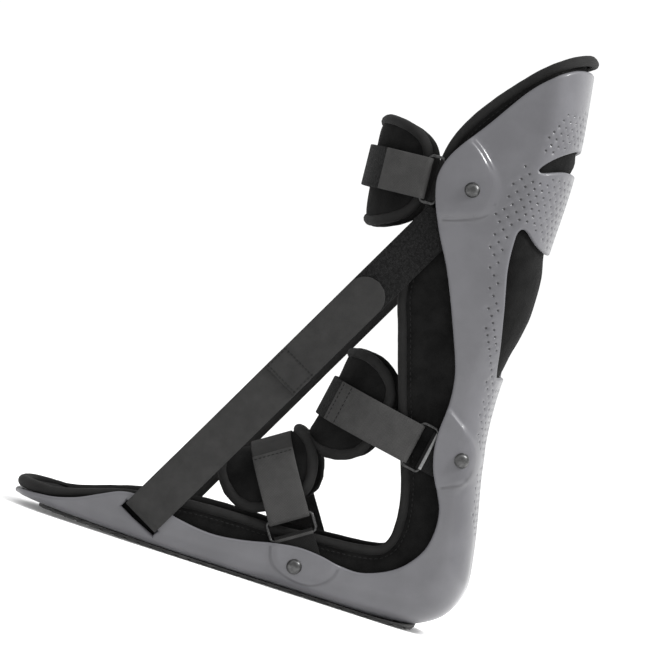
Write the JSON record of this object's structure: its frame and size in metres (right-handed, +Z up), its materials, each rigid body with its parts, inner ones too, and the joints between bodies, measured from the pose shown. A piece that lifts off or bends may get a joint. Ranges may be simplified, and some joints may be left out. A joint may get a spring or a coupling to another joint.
{
  "type": "plantar fasciitis night splint",
  "caption": "Night splint boot: a moulded trough shell with open back, padded liner, padded cross straps with rings and side tension straps that hold the foot at an angle to the leg.",
  "frame": {"origin": "on the flat underside of the outsole, on the middle plane, under the midfoot", "axes": "+X from toe to heel, +Z up along the leg, rings on the -Y side"},
  "size_m": [0.2718, 0.124, 0.3543],
  "materials": {
    "shell_plastic": "moulded, satin",
    "outsole_rubber": "matt tread",
    "liner_cloth": "brushed knit over foam",
    "binding_tape": "woven binding tape",
    "pad_cloth": "brushed knit over foam",
    "webbing": "woven webbing",
    "loop_pile": "napped loop tape",
    "hook_tab": "smooth backed hook tape",
    "ring_wire": "dark plated wire",
    "rivet_metal": "satin grey"
  },
  "bodies": {
    "root": {"shell": "shell_plastic", "outsole": "outsole_rubber", "liner": "liner_cloth", "liner_binding": "binding_tape", "calf_strap": "webbing", "calf_pad": "pad_cloth", "calf_pad_binding": "binding_tape", "calf_ring": "ring_wire", "calf_ring_tab": "webbing", "calf_rivet_near": "rivet_metal", "calf_rivet_far": "rivet_metal", "ankle_strap": "webbing", "ankle_pad": "pad_cloth", "ankle_pad_binding": "binding_tape", "ankle_ring": "ring_wire", "ankle_ring_tab": "webbing", "ankle_rivet_near": "rivet_metal", "ankle_rivet_far": "rivet_metal", "forefoot_strap": "webbing", "forefoot_pad": "pad_cloth", "forefoot_pad_binding": "binding_tape", "forefoot_ring": "ring_wire", "forefoot_ring_tab": "webbing", "forefoot_rivet_near": "rivet_metal", "forefoot_rivet_far": "rivet_metal", "tension_strap_near": "loop_pile", "tension_tab_near": "hook_tab", "tension_strap_far": "loop_pile", "tension_tab_far": "hook_tab"}
  },
  "joints": []
}
